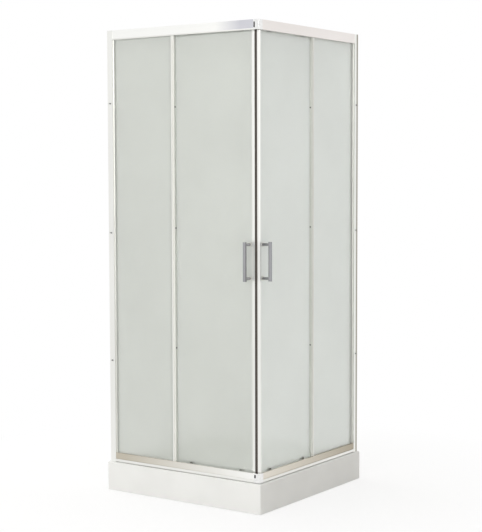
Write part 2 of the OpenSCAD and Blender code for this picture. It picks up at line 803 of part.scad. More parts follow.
// The left stile is a box with a slot for the glass and a groove for the seal's key
module leading_stile_left() {
    end = lead_left_u + lead_w;
    color(alu_col) left_face() difference() {
        block(lead_left_u, end, lead_v, lead_back, stile_z0, stile_z1);
        block(door_left_u, end + cut, door_v, door_back, stile_z0 - cut, stile_z1 + cut);
        seal_key(hole_clear, stile_z0 - cut, stile_z1 + cut);
    }
}

module seal_key(clear, z0, z1) {
    mid = lead_v + seal_w / 2;
    half_w = seal_key_w / 2 + clear;
    block(lead_left_u - cut, lead_left_u + seal_key_d + clear, mid - half_w, mid + half_w, z0, z1);
}

module magnetic_seal_left() {
    color(magnet_col) left_face() {
        block(seal_left_u, lead_left_u, lead_v, lead_v + seal_w, stile_z0, stile_z1);
        seal_key(0, stile_z0, stile_z1);
    }
}

// The corner post stands in front of the rails' pockets and only its back reaches into them
module leading_stile_right() {
    show = 0.8;
    color(alu_col) right_face() difference() {
        union() {
            block(lead_v, lead_back, lead_v, post_back, stile_z0, stile_z1);
            block(lead_v, lead_back, post_out, post_back, bottom_rail_top + show, top_rail_low - show);
        }
        block(door_right_u, lead_back + cut, door_v, door_back, stile_z0 - cut, stile_z1 + cut);
        block(lead_v - cut, lead_v + seal_leg, post_out + post_w, post_back + cut,
            stile_z0 - cut, stile_z1 + cut);
    }
}

module magnetic_seal_right() {
    color(magnet_col) right_face() {
        block(lead_v, lead_v + seal_leg, post_out + post_w, seal_right_u, stile_z0, stile_z1);
        block(lead_v, lead_v + seal_w, post_back, seal_right_u, stile_z0, stile_z1);
    }
}

module trailing_seal(end_u) {
    end = end_u + tail_t;
    z0 = bottom_rail_top - 4;
    z1 = top_rail_low + 4;
    color(rubber_col) difference() {
        union() {
            block(end_u - tail_grip, end, door_v - tail_t, door_back + tail_t, z0, z1);
            block(end - tail_t, end, pocket_back + 0.4, door_v, z0, z1);
        }
        block(end_u - tail_grip - cut, end_u, door_v, door_back, z0 - cut, z1 + cut);
    }
}

module handle(u) {
    color(handle_col) difference() {
        union() {
            for (z = handle_zs) {
                pin(u, z, base_r, door_v - base_t, door_v);
                pin(u, z, post_r, bar_v, door_v);
            }
            translate([u, bar_v, handle_mid - handle_len / 2])
                linear_extrude(handle_len) rounded_bar(bar_w, bar_d, bar_edge_r);
        }
        for (z = handle_zs) pin(u, z, handle_screw_r + run_clear, door_v - handle_screw_len, door_v + cut);
    }
}

module door_screws(handle_u) {
    color(chrome_col) {
        for (u = roller_us, z = [top_disc_z, bottom_disc_z]) {
            pin(u, z, disc_r, door_v - disc_t, door_v);
            pin(u, z, clamp_r, door_v - cut, bracket_v + clamp_nut_h);
            translate([u, bracket_v, z]) rotate([-90, 0, 0])
                cylinder(r = clamp_nut_r, h = clamp_nut_h, $fn = 6);
        }
        for (z = handle_zs) {
            pin(handle_u, z, base_r, door_back, door_back + rosette_t);
            pin(handle_u, z, handle_screw_r, door_v - handle_screw_len + 1, door_back + cut);
        }
    }
}

module bracket(u, z0, z1, axle_z, disc_z) {
    difference() {
        union() {
            block(u - bracket_w / 2, u + bracket_w / 2, door_back, bracket_v, z0, z1);
            pin(u, axle_z, boss_r, door_back, boss_end);
        }
        pin(u, axle_z, axle_r + run_clear, door_back - cut, boss_end + cut);
        pin(u, disc_z, clamp_r + hole_clear, door_back - cut, bracket_v + cut);
    }
}

module top_roller_brackets() {
    color([0.8, 0.8, 0.8])
        for (u = roller_us) bracket(u, top_disc_z - 11, top_wheel_z + boss_r + 2, top_wheel_z, top_disc_z);
}

module bottom_roller_brackets() {
    color([0.8, 0.8, 0.8])
        for (u = roller_us)
            bracket(u, bottom_wheel_z - boss_r, bottom_disc_z + bracket_over, bottom_wheel_z, bottom_disc_z);
}

module roller_axles() {
    head_v = wheel_v + wheel_w + 0.3;
    color(steel_col) for (u = roller_us, z = [top_wheel_z, bottom_wheel_z]) {
        pin(u, z, axle_r, door_back + 0.2, head_v + cut);
        pin(u, z, axle_head_r, head_v, head_v + axle_head_t);
    }
}

// A wheel turned about v: two flanges and a groove that straddles the track's ridge
module wheel(u, z, tread_r) {
    side = (wheel_w - groove_w) / 2;
    rim = tread_r + wheel_flange;
    bore = axle_r + run_clear;
    color(nylon_col) translate([u, wheel_v, z]) rotate([-90, 0, 0]) rotate_extrude($fn = 64) polygon([
        [bore, 0], [rim - 0.5, 0], [rim, 0.5], [rim, side - 0.3], [tread_r, side],
        [tread_r, wheel_w - side], [rim, wheel_w - side + 0.3], [rim, wheel_w - 0.5],
        [rim - 0.5, wheel_w], [bore, wheel_w],
    ]);
}

tray_shell();
tray_base_board();
tray_support_bars();
tray_foot_rods();
tray_foot_pads();
tray_foot_locknuts();
drain_flange();
drain_gasket();
drain_body();
drain_cover();
left_face() wall_profile();  // wall_profile_left
right_face() wall_profile();  // wall_profile_right
left_face() jamb_profile();  // jamb_profile_left
right_face() jamb_profile();  // jamb_profile_right
left_face() fixed_glass(stile_left_u);  // fixed_glass_left
right_face() fixed_glass(stile_right_u);  // fixed_glass_right
left_face() glazing_gasket(stile_left_u);  // glazing_gasket_left
right_face() glazing_gasket(stile_right_u);  // glazing_gasket_right
left_face() fixed_stile(stile_left_u);  // fixed_stile_left
right_face() fixed_stile(stile_right_u);  // fixed_stile_right
left_face() top_rail();  // top_rail_left
right_face() top_rail();  // top_rail_right
left_face() bottom_rail();  // bottom_rail_left
right_face() bottom_rail();  // bottom_rail_right
top_corner_connector();
bottom_corner_connector();
left_face() frame_screws(stile_left_u);  // frame_screws_left
right_face() frame_screws(stile_right_u);  // frame_screws_right
left_face() door_stops();  // door_stops_left
right_face() door_stops();  // door_stops_right
left_face() door_glass(door_left_u, end_left_u, handle_left_u);  // door_glass_left
right_face() door_glass(door_right_u, end_right_u, handle_right_u);  // door_glass_right
leading_stile_left();
leading_stile_right();
magnetic_seal_left();
magnetic_seal_right();
left_face() trailing_seal(end_left_u);  // trailing_seal_left
right_face() trailing_seal(end_right_u);  // trailing_seal_right
left_face() handle(handle_left_u);  // handle_left
right_face() handle(handle_right_u);  // handle_right
left_face() door_screws(handle_left_u);  // door_screws_left
right_face() door_screws(handle_right_u);  // door_screws_right
left_face() top_roller_brackets();  // top_roller_brackets_left
right_face() top_roller_brackets();  // top_roller_brackets_right
left_face() bottom_roller_brackets();  // bottom_roller_brackets_left
right_face() bottom_roller_brackets();  // bottom_roller_brackets_right
left_face() roller_axles();  // roller_axles_left
right_face() roller_axles();  // roller_axles_right
left_face() wheel(roller_front_u, top_wheel_z, top_wheel_r);  // top_wheel_front_left
left_face() wheel(roller_rear_u, top_wheel_z, top_wheel_r);  // top_wheel_rear_left
right_face() wheel(roller_front_u, top_wheel_z, top_wheel_r);  // top_wheel_front_right
right_face() wheel(roller_rear_u, top_wheel_z, top_wheel_r);  // top_wheel_rear_right
left_face() wheel(roller_front_u, bottom_wheel_z, bottom_wheel_r);  // bottom_wheel_front_left
left_face() wheel(roller_rear_u, bottom_wheel_z, bottom_wheel_r);  // bottom_wheel_rear_left
right_face() wheel(roller_front_u, bottom_wheel_z, bottom_wheel_r);  // bottom_wheel_front_right
right_face() wheel(roller_rear_u, bottom_wheel_z, bottom_wheel_r);  // bottom_wheel_rear_right
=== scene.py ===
# %% [markdown]
# A corner shower enclosure is a pair of framed screens on a tray. Its shapes come from the packed
# model, which this script loads as a fixed frame. The script then gives every piece its finish, and
# makes some pieces again with softened edges, because a real edge is never razor sharp and the thin
# line of light on it is what tells the eye that it looks at metal, glass or plastic.

# %% Load the frame
import bpy
import bmesh
import json
import math
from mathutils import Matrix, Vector

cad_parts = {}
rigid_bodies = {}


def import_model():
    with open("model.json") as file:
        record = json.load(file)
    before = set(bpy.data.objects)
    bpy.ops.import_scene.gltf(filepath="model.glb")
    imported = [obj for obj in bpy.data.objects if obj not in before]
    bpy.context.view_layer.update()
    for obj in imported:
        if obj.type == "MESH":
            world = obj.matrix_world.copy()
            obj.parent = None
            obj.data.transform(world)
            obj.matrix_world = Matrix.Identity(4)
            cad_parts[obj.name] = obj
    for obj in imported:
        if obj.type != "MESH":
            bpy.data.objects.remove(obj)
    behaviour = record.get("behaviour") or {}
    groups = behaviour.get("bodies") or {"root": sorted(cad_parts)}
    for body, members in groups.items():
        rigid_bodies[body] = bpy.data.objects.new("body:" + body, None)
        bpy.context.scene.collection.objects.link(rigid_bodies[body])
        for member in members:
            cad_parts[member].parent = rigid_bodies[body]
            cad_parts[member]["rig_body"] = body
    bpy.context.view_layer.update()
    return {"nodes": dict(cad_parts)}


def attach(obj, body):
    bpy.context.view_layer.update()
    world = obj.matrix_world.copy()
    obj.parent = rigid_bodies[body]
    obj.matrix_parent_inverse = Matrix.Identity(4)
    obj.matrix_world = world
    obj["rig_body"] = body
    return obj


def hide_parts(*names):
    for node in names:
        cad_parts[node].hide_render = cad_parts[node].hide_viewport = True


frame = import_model()
nodes = frame["nodes"]

# %% [markdown]
# Each screen is easiest to think about in its own directions: u runs from the entry corner to the
# wall, v runs from the outer plane inwards, and z runs up. Two short functions turn these into the
# model's x, y and z. Sizes are written in millimetres there, as on a maker's drawing.

# %% Directions of the two screens
CORNER = 0.390


def left_point(u, v, z):
    return Vector((CORNER - u / 1000, -CORNER + v / 1000, z / 1000))


def right_point(u, v, z):
    return Vector((CORNER - v / 1000, -CORNER + u / 1000, z / 1000))


POINT_OF = {"left": left_point, "right": right_point}
print("left screen starts at", left_point(0, 0, 125), "right screen ends at", right_point(778, 0, 125))

# %% [markdown]
# Finishes and repeated shapes are both graphs of nodes. Making one node takes several lines: create
# it, set its options, then link each socket or give it a value. The helper below does that in one
# call, so a graph reads like a short recipe.

# %% One node, with its links
def add(tree, kind, links=None, **settings):
    """A node with its settings, its sockets linked from outputs or set to values."""
    node = tree.nodes.new(kind)
    for key, value in settings.items():
        setattr(node, key, value)
    for socket, value in (links or {}).items():
        if isinstance(value, bpy.types.NodeSocket):
            tree.links.new(value, node.inputs[socket])
        else:
            node.inputs[socket].default_value = value
    return node


def maths(tree, kind, first, second):
    return add(tree, "ShaderNodeMath", {0: first, 1: second}, operation=kind).outputs[0]


print("made the node helpers")

# %% [markdown]
# Most finishes share a few things: a colour written as it should look on the screen, a pattern that
# reads the piece's own coordinates and can be stretched along the piece, and a roughness and a bump
# that are driven by that pattern. An even roughness would look like a computer's plastic.

# %% Helpers for finishes
BLEND_START, BLEND_END = 0.3, 0.7


def tone(r, g, b):
    """A screen colour from 0 to 255, as the linear colour that a shader wants."""
    def linear(c):
        c = c / 255
        return c / 12.92 if c <= 0.04045 else ((c + 0.055) / 1.055) ** 2.4
    return (linear(r), linear(g), linear(b), 1.0)


def start_finish(name, roughness, metallic=0.0):
    finish = bpy.data.materials.new(name)
    finish.use_nodes = True
    tree = finish.node_tree
    shader = tree.nodes["Principled BSDF"]
    shader.inputs["Roughness"].default_value = roughness
    shader.inputs["Metallic"].default_value = metallic
    return finish, tree, shader


def grain(tree, size, stretch=(1, 1, 1), detail=3.0):
    """Noise with grains of about `size` metres, longer along an axis whose stretch is over 1."""
    place = add(tree, "ShaderNodeTexCoord").outputs["Object"]
    scaled = add(tree, "ShaderNodeMapping", {
        "Vector": place, "Scale": [1 / (size * s) for s in stretch]})
    noise = add(tree, "ShaderNodeTexNoise", {
        "Vector": scaled.outputs["Vector"], "Scale": 1.0, "Detail": detail})
    return noise.outputs["Fac"]


def colours(tree, shader, pattern, low, high):
    """The pattern blends the base colour from one tone to another."""
    ramp = add(tree, "ShaderNodeValToRGB", {"Fac": pattern})
    first, last = ramp.color_ramp.elements[0], ramp.color_ramp.elements[1]
    first.position, last.position = BLEND_START, BLEND_END
    first.color, last.color = low, high
    tree.links.new(ramp.outputs["Color"], shader.inputs["Base Color"])


def roughness_by(tree, shader, pattern, low, high):
    spread = add(tree, "ShaderNodeMapRange", {"Value": pattern, "To Min": low, "To Max": high})
    tree.links.new(spread.outputs["Result"], shader.inputs["Roughness"])


def relief(tree, shader, pattern, strength, depth):
    bump = add(tree, "ShaderNodeBump", {"Height": pattern, "Strength": strength, "Distance": depth})
    tree.links.new(bump.outputs["Normal"], shader.inputs["Normal"])


print("middle grey as a linear colour:", [round(c, 3) for c in tone(128, 128, 128)])

# %% [markdown]
# The tray is cast acrylic: white, glossy, and very slightly wavy from the mould, so a reflection in
# it is never quite straight. The wave could be modelled, but it is far too shallow to change the
# outline, so a large soft noise drives a faint bump and a hardly visible change of tone instead.

# %% Acrylic
def white_acrylic():
    finish, tree, shader = start_finish("white_acrylic", 0.22)
    wave = grain(tree, 0.12, detail=1.0)
    colours(tree, shader, wave, tone(240, 241, 240), tone(244, 245, 244))
    roughness_by(tree, shader, grain(tree, 0.02), 0.18, 0.3)
    relief(tree, shader, wave, 0.05, 0.002)
    shader.inputs["Coat Weight"].default_value = 0.3
    shader.inputs["Coat Roughness"].default_value = 0.08
    return finish


acrylic = white_acrylic()
print("made", acrylic.name)

# %% [markdown]
# The profiles are extruded aluminium, polished bright and anodised. Extrusion leaves faint lines
# along the bar, so the noise is stretched 150 times along the profile. Rails along x, rails
# along y and uprights each need their own direction, which is why the finish is a function.

# %% Bright aluminium
ALONG_X, ALONG_Y, ALONG_Z = (150, 1, 1), (1, 150, 1), (1, 1, 150)
BRIGHT, BRIGHT_DARK = (240, 240, 236), (232, 232, 228)


def bright_aluminium(name, stretch, light=BRIGHT, dark=BRIGHT_DARK):
    finish, tree, shader = start_finish(name, 0.32, 1.0)
    lines = grain(tree, 0.0012, stretch, 2.0)
    cloud = grain(tree, 0.15, [1 + s * 0.02 for s in stretch], 2.0)
    colours(tree, shader, cloud, tone(*dark), tone(*light))
    roughness_by(tree, shader, lines, 0.27, 0.37)
    relief(tree, shader, lines, 0.04, 0.0002)
    return finish


upright_metal = bright_aluminium("upright_aluminium", ALONG_Z)
# Painted reflection: the right top rail is painted a warmer cream than the other bright metal.
top_rail_right_painted_reflection = bright_aluminium(
    "right_top_rail_aluminium", ALONG_Y, (240, 235, 232), (232, 227, 223))
print("made", upright_metal.name, top_rail_right_painted_reflection.name)

# %% [markdown]
# The bright metal of the rails mirrors what is around it, and their colour paints part of that in.
# On the low rails a painted reflection of the floor turns the metal tan and darker away from the
# entry, while the ledge at the foot of the rail is left bright. On the left top rail a painted
# reflection is a lavender grey by the entry corner and fades to bright away from it. A painted
# picture could hold such a tone, but it would have to be drawn and unwrapped. Here the tone simply
# follows the distance from the corner.

# %% Rails with a painted reflection
PAINT_BORDER = 0.0005
LEDGE_TOP = 0.139
LIP_TOP = 1.9405


def rail_with_painted_tone(name, stretch, near, far, start, reach, unpainted_below):
    """Bright metal with a painted tone that changes from one tone to another between two distances
    from the entry corner, and that is left unpainted below a height."""
    finish = bright_aluminium(name, stretch)
    tree = finish.node_tree
    shader = tree.nodes["Principled BSDF"]
    place = add(tree, "ShaderNodeTexCoord").outputs["Object"]
    split = add(tree, "ShaderNodeSeparateXYZ", {0: place})
    level = add(tree, "ShaderNodeCombineXYZ", {"X": split.outputs["X"], "Y": split.outputs["Y"]})
    away = add(tree, "ShaderNodeVectorMath", {
        0: level.outputs[0], 1: (CORNER, -CORNER, 0.0)}, operation="DISTANCE")
    share = add(tree, "ShaderNodeMapRange", {
        "Value": away.outputs["Value"], "From Min": start, "From Max": reach})
    painted_tone = add(tree, "ShaderNodeValToRGB", {"Fac": share.outputs["Result"]})
    painted_tone.color_ramp.elements[0].color = tone(*near)
    painted_tone.color_ramp.elements[1].color = tone(*far)
    painted_share = add(tree, "ShaderNodeMapRange", {
        "Value": split.outputs["Z"],
        "From Min": unpainted_below - PAINT_BORDER, "From Max": unpainted_below + PAINT_BORDER})
    bare = shader.inputs["Base Color"].links[0].from_socket
    mixed = add(tree, "ShaderNodeMix", {
        "Factor": painted_share.outputs["Result"], "A": bare, "B": painted_tone.outputs["Color"]},
        data_type="RGBA")
    tree.links.new(mixed.outputs["Result"], shader.inputs["Base Color"])
    return finish


# Painted reflection: the low rails turn tan and darker away from the entry corner, with a bright
# ledge.
low_rail_left_painted_reflection = rail_with_painted_tone(
    "left_low_rail_aluminium", ALONG_X, (246, 246, 243), (196, 189, 174), 0.05, 0.7, LEDGE_TOP)
low_rail_right_painted_reflection = rail_with_painted_tone(
    "right_low_rail_aluminium", ALONG_Y, (226, 220, 209), (172, 163, 146), 0.05, 0.75, LEDGE_TOP)
# Painted reflection: the left top rail is lavender grey by the entry corner and bright further away.
top_rail_left_painted_reflection = rail_with_painted_tone(
    "left_top_rail_aluminium", ALONG_X, (204, 204, 210), (246, 246, 243), 0.09, 0.21, LIP_TOP)
print("made three rail finishes with a film")

# %% [markdown]
# The channel that fits the right wall is bright, but along the edge that touches the wall its colour
# is painted a dark olive in a band of about a centimetre, as a painted shade. The same function makes
# it, with a change of tone that is only four millimetres wide.

# %% Wall channel with a painted shade along its edge
PAINTED_SHADE_START, PAINTED_SHADE_FULL = 0.764, 0.768
# Painted shade: the channel darkens to olive in a band along the edge at the wall.
channel_painted_shade = rail_with_painted_tone(
    "right_channel_aluminium", ALONG_Z, BRIGHT, (158, 154, 143), PAINTED_SHADE_START, PAINTED_SHADE_FULL, 0.0)
print("made", channel_painted_shade.name)

# %% [markdown]
# The glass is toughened and frosted on one side. Frosting is a fine etched grain that scatters
# light, so the pane looks pale and even and shows what is behind it only as soft shade. Clear glass
# with a rough bump alone would pass too much of the dark edges behind it. So half of the light goes
# through, with a high roughness, and half is scattered back, as milk glass does. The grain itself
# is just under a millimetre.

# %% Frosted glass
def frosted_glass(name, low, high):
    finish, tree, shader = start_finish(name, 0.44)
    fine = grain(tree, 0.0008, detail=2.0)
    soft = grain(tree, 0.25, detail=2.0)
    colours(tree, shader, soft, tone(*low), tone(*high))
    roughness_by(tree, shader, fine, 0.38, 0.5)
    relief(tree, shader, fine, 0.15, 0.0003)
    shader.inputs["Transmission Weight"].default_value = 0.5
    shader.inputs["IOR"].default_value = 1.1
    shader.inputs["Specular IOR Level"].default_value = 0.4
    return finish


# The two panes are the same glass; the right pane is painted much lighter than the left, painted light
# that evens out how differently the two faces are lit.
glass_left = frosted_glass("frosted_glass_painted_darker", (218, 221, 217), (222, 225, 221))
glass_right = frosted_glass("frosted_glass_painted_lighter", (242, 245, 243), (246, 249, 247))
print("made", glass_left.name, glass_right.name)

# %% [markdown]
# Seals, stops and gaskets are extruded plastics. The magnetic seal is a dark strip: a magnet in a
# brown-grey rubber casing. The clip-on seal and the gaskets are pale vinyl that lets a little light
# through. Rollers, brackets, foot pads and screw caps are moulded. All of them differ only in
# colour, gloss and grain, so one function makes them.

# %% Seals, rubber and moulded plastics
LONG_GRAIN = (1, 1, 60)


def moulded(name, low, high, roughness, size=0.003, stretch=(1, 1, 1), strength=0.08, coat=0.0):
    finish, tree, shader = start_finish(name, roughness)
    speck = grain(tree, size, stretch)
    colours(tree, shader, speck, tone(*low), tone(*high))
    roughness_by(tree, shader, speck, roughness - 0.06, roughness + 0.08)
    relief(tree, shader, speck, strength, 0.0003)
    shader.inputs["Coat Weight"].default_value = coat
    return finish


magnet_rubber = moulded("magnet_rubber", (62, 54, 48), (70, 62, 56), 0.45, stretch=LONG_GRAIN)
pale_vinyl = moulded(
    "pale_vinyl", (236, 238, 235), (242, 244, 241), 0.35, stretch=LONG_GRAIN, coat=0.3)
pale_vinyl.node_tree.nodes["Principled BSDF"].inputs["Transmission Weight"].default_value = 0.15
stop_rubber = moulded("stop_rubber", (58, 58, 60), (70, 70, 72), 0.7)
white_nylon = moulded("white_nylon", (226, 226, 220), (236, 236, 231), 0.4, size=0.002)
bracket_plastic = moulded("bracket_plastic", (196, 197, 198), (208, 209, 210), 0.45, size=0.0015)
pad_plastic = moulded("pad_plastic", (48, 48, 50), (60, 60, 62), 0.55, size=0.0015, strength=0.2)
drain_plastic = moulded("drain_plastic", (206, 208, 210), (218, 220, 222), 0.4)
groove_rubber = moulded(
    "groove_rubber", (232, 233, 228), (240, 241, 236), 0.5, stretch=LONG_GRAIN)
cap_plastic = moulded("cap_plastic", (150, 150, 145), (166, 166, 160), 0.4, size=0.002)
print("made nine plastics")

# %% [markdown]
# Small metal pieces: chromed connectors and drain parts are mirror bright with a trace of haze, the
# handles are a satin grey, and screws, foot rods and tubes are plain or zinc plated steel with a
# cloudy tint. Plating follows the metal below it, so a fine grain drives both the gloss and a bump.

# %% Small metals
def plated(name, low, high, rough_low, rough_high, size=0.01, stretch=(1, 1, 1)):
    finish, tree, shader = start_finish(name, rough_low, 1.0)
    cloud = grain(tree, size, stretch)
    colours(tree, shader, cloud, tone(*low), tone(*high))
    roughness_by(tree, shader, grain(tree, size * 0.2, stretch), rough_low, rough_high)
    relief(tree, shader, grain(tree, size * 0.1, stretch, 2.0), 0.03, 0.0001)
    return finish


chrome = plated("bright_chrome", (232, 232, 231), (242, 242, 241), 0.1, 0.2)
satin_grey = plated(
    "satin_grey_metal", (150, 150, 153), (160, 160, 163), 0.28, 0.4, stretch=(1, 1, 30))
screw_steel = plated("screw_steel", (128, 128, 128), (150, 150, 150), 0.3, 0.45, 0.003)
zinc_steel = plated("zinc_steel", (164, 168, 172), (190, 192, 196), 0.3, 0.5, 0.006)
print("made four metals")

# %% [markdown]
# The board under the basin is raw particle board, pressed from flattened wood chips. Plain noise
# has no chips in it, but a pattern of cells has: each cell gets a brown of its own, and the distance
# from its middle gives the rough bump.

# %% Particle board
CHIPS_PER_METRE = 160.0


def particle_board():
    finish, tree, shader = start_finish("particle_board", 0.85)
    place = add(tree, "ShaderNodeTexCoord").outputs["Object"]
    chips = add(tree, "ShaderNodeTexVoronoi", {"Vector": place, "Scale": CHIPS_PER_METRE})
    split = add(tree, "ShaderNodeSeparateColor", {"Color": chips.outputs["Color"]})
    colours(tree, shader, split.outputs["Red"], tone(176, 148, 108), tone(212, 186, 146))
    relief(tree, shader, chips.outputs["Distance"], 0.4, 0.0008)
    return finish


board_finish = particle_board()
print("made", board_finish.name)

# %% [markdown]
# Every node of the frame now gets its finish. The table goes from a part of the node's name to a
# material, and the rails take the direction of their own screen.

# %% Finish of each node
FINISHES = [
    ("tray_shell", acrylic), ("tray_base_board", board_finish),
    ("tray_support_bars", zinc_steel), ("tray_foot_rods", zinc_steel),
    ("tray_foot_pads", pad_plastic), ("tray_foot_locknuts", zinc_steel),
    ("drain_flange", chrome), ("drain_gasket", stop_rubber), ("drain_body", drain_plastic),
    ("drain_cover", chrome), ("wall_profile_left", upright_metal),
    ("wall_profile_right", channel_painted_shade), ("jamb_profile", upright_metal),
    ("glass_left", glass_left), ("glass_right", glass_right),
    ("glazing_gasket", pale_vinyl), ("fixed_stile", upright_metal),
    ("corner_connector", chrome), ("frame_screws", screw_steel), ("door_stops", stop_rubber),
    ("leading_stile", upright_metal), ("magnetic_seal", magnet_rubber),
    ("trailing_seal", pale_vinyl), ("handle", satin_grey), ("door_screws", cap_plastic),
    ("roller_brackets", bracket_plastic), ("roller_axles", zinc_steel), ("wheel", white_nylon),
    ("bottom_rail_left", low_rail_left_painted_reflection), ("bottom_rail_right", low_rail_right_painted_reflection),
    ("top_rail_left", top_rail_left_painted_reflection), ("top_rail_right", top_rail_right_painted_reflection),
]


def finish_of(name):
    for part, finish in FINISHES:
        if part in name:
            return finish
    raise KeyError(name)


def coat(piece, finish):
    piece.data.materials.clear()
    piece.data.materials.append(finish)


for name, piece in nodes.items():
    coat(piece, finish_of(name))
print("finished", len(nodes), "nodes")

# %% [markdown]
# A softened edge needs care with its shading. Smooth shading alone would make the flat faces look
# swollen, and flat shading would show the small faces of the round. So each corner's normal is the
# mean of the faces that bend softly into each other there, weighted by their area: the large flat
# faces win, and only the narrow round takes up the turn.

# %% Shade the rounds and keep the flats
SOFT_BEND = 45.0


def shade_by_area(mesh, bend=SOFT_BEND):
    """Give every corner the area-weighted normal of the faces that meet there softly."""
    limit = math.cos(math.radians(bend))
    around = [[] for _ in mesh.vertices]
    for face in mesh.polygons:
        face.use_smooth = True
        for vertex in face.vertices:
            around[vertex].append(face)
    normals = []
    for face in mesh.polygons:
        for vertex in face.vertices:
            mean = Vector()
            for other in around[vertex]:
                if face.normal.dot(other.normal) > limit:
                    mean += other.normal * other.area
            normals.append(mean.normalized() if mean.length > 0 else face.normal.copy())
    mesh.normals_split_custom_set(normals)


print("faces that bend by less than", SOFT_BEND, "degrees are shaded as one")

# %% [markdown]
# Softened edges. A modifier could bevel each node live, but a node's mesh is loose triangles, and a
# bevel would round every one of them. So a copy is merged first, its flat triangles are joined into
# whole faces, and only the sharp edges get a small round. The copy then stands for the node, which
# stays in the model for contact.

# %% Make a node again with softened edges
MERGE_DISTANCE = 2e-6
FLAT_BEND, SHARP_BEND = 0.5, 35.0
BEVEL_STEPS = 2


def merged(node):
    """A copy of a node's mesh in which the triangles share their corners."""
    shape = bmesh.new()
    shape.from_mesh(nodes[node].data)
    bmesh.ops.remove_doubles(shape, verts=shape.verts, dist=MERGE_DISTANCE)
    return shape


def stand_in(name, mesh, node, finish):
    """A piece made of `mesh` that rides on the node's body and stands for the node."""
    piece = bpy.data.objects.new(name, mesh)
    bpy.context.scene.collection.objects.link(piece)
    coat(piece, finish)
    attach(piece, nodes[node]["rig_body"])
    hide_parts(node)
    return piece


def softened(node, width):
    """The node made again with rounds of `width` millimetres on its sharp edges."""
    shape = merged(node)
    bmesh.ops.dissolve_limit(shape, angle_limit=math.radians(FLAT_BEND), verts=shape.verts,
                             edges=shape.edges)
    if width > 0:
        edges = [e for e in shape.edges
                 if e.is_manifold and e.calc_face_angle(0.0) > math.radians(SHARP_BEND)]
        bmesh.ops.bevel(shape, geom=edges, offset=width / 1000, segments=BEVEL_STEPS, profile=0.5,
                        affect="EDGES", clamp_overlap=True)
    mesh = bpy.data.meshes.new(node + "_soft")
    shape.to_mesh(mesh)
    shape.free()
    shade_by_area(mesh)
    return stand_in(node + "_soft", mesh, node, finish_of(node))


print("edges that bend by more than", SHARP_BEND, "degrees get a round")

# %% [markdown]
# How wide a round is depends on the piece, and it is given in millimetres. Rails, handles, wheels
# and small or thin pieces have 0.2 to 0.4, most others about half a millimetre, and the steel tubes,
# the leading stiles and the base board up to a whole one. The tray's width is 0, because its rounds
# are in the model already, so it is only merged and shaded.

# %% Soften the pieces
SOFT_WIDTHS = {
    "tray_shell": 0.0, "tray_base_board": 1.0, "tray_support_bars": 0.8, "tray_foot_pads": 0.6,
    "drain_flange": 0.5, "drain_gasket": 0.3, "drain_body": 0.6, "drain_cover": 0.6,
    "top_corner_connector": 0.6, "bottom_corner_connector": 0.6,
}
PAIR_WIDTHS = {
    "top_rail": 0.4, "bottom_rail": 0.4, "wall_profile": 0.6, "jamb_profile": 0.3,
    "fixed_stile": 0.5, "leading_stile": 1.0, "handle": 0.4, "magnetic_seal": 0.5,
    "trailing_seal": 0.3, "fixed_glass": 0.5, "door_glass": 0.5, "glazing_gasket": 0.2,
    "door_screws": 0.4, "door_stops": 0.6, "top_roller_brackets": 0.5,
    "bottom_roller_brackets": 0.5, "roller_axles": 0.4, "top_wheel_front": 0.2,
    "top_wheel_rear": 0.2, "bottom_wheel_front": 0.2, "bottom_wheel_rear": 0.2,
}
for part, width in PAIR_WIDTHS.items():
    SOFT_WIDTHS[part + "_left"] = SOFT_WIDTHS[part + "_right"] = width
soft_pieces = {}
for node, width in SOFT_WIDTHS.items():
    soft_pieces[node] = softened(node, width)
    print(node, "softened by", width, "mm:", len(soft_pieces[node].data.polygons), "faces")

# %% [markdown]
# Some pieces carry a second finish on a few of their faces. The slot in each corner connector, where
# the door's magnetic strip ends, takes the dark rubber finish as a painted shade of its hollow, the
# groove of each fixed stile holds a pale rubber strip, and the handles stand on pale plastic washers
# that keep metal off the glass. Each could be a piece of its own, but the carrier's solid already has
# its shape, so the faces whose middle lies in a named box, in millimetres, take the second finish.

# %% Second finishes
SLOT_U, SLOT_V = (18.8, 26.2), (0.7, 7.0)
SLOT_Z = {"top_corner_connector": (1940, 1967), "bottom_corner_connector": (145, 163)}
GROOVE_V, GROOVE_Z = (7.8, 8.2), (160, 1940)
GROOVE_U = {"left": (427.6, 434.4), "right": (405.6, 412.4)}
WASHER_V, WASHER_Z = (17.4, 20.6), (900, 1130)
WASHER_U = {"left": (46, 70), "right": (40, 64)}


def box_of(point, u, v, z):
    """The box between two corners that are given in a screen's own directions."""
    first, second = point(u[0], v[0], z[0]), point(u[1], v[1], z[1])
    return [[min(a, b) for a, b in zip(first, second)], [max(a, b) for a, b in zip(first, second)]]


def within(face, box):
    """True where the middle of a face lies in a box given as a low and a high corner."""
    return all(box[0][i] <= face.center[i] <= box[1][i] for i in range(3))


def line_faces(node, finish, box):
    piece = soft_pieces[node]
    piece.data.materials.append(finish)
    picked = [face for face in piece.data.polygons if within(face, box)]
    for face in picked:
        face.material_index = 1
    print(node, "has", len(picked), "faces in", finish.name)


# Painted shade: the dark rubber finish on the slot faces stands in for the shade inside the slot.
for node, slot_z in SLOT_Z.items():
    line_faces(node, stop_rubber, box_of(left_point, SLOT_U, SLOT_V, slot_z))
for side, point in POINT_OF.items():
    line_faces("fixed_stile_" + side, groove_rubber,
               box_of(point, GROOVE_U[side], GROOVE_V, GROOVE_Z))
    line_faces("handle_" + side, white_nylon, box_of(point, WASHER_U[side], WASHER_V, WASHER_Z))

# %% [markdown]
# What repeats is grown by Geometry Nodes. A tree takes a mesh of bare points, one for each place,
# and named sizes. It builds one screw, rod or rib, puts it on every point, makes the copies real and
# gives them their finish. The result is read back as a plain mesh, and the modifier goes. Copies
# made by hand would look the same, but a changed size would have to be changed in each of them.

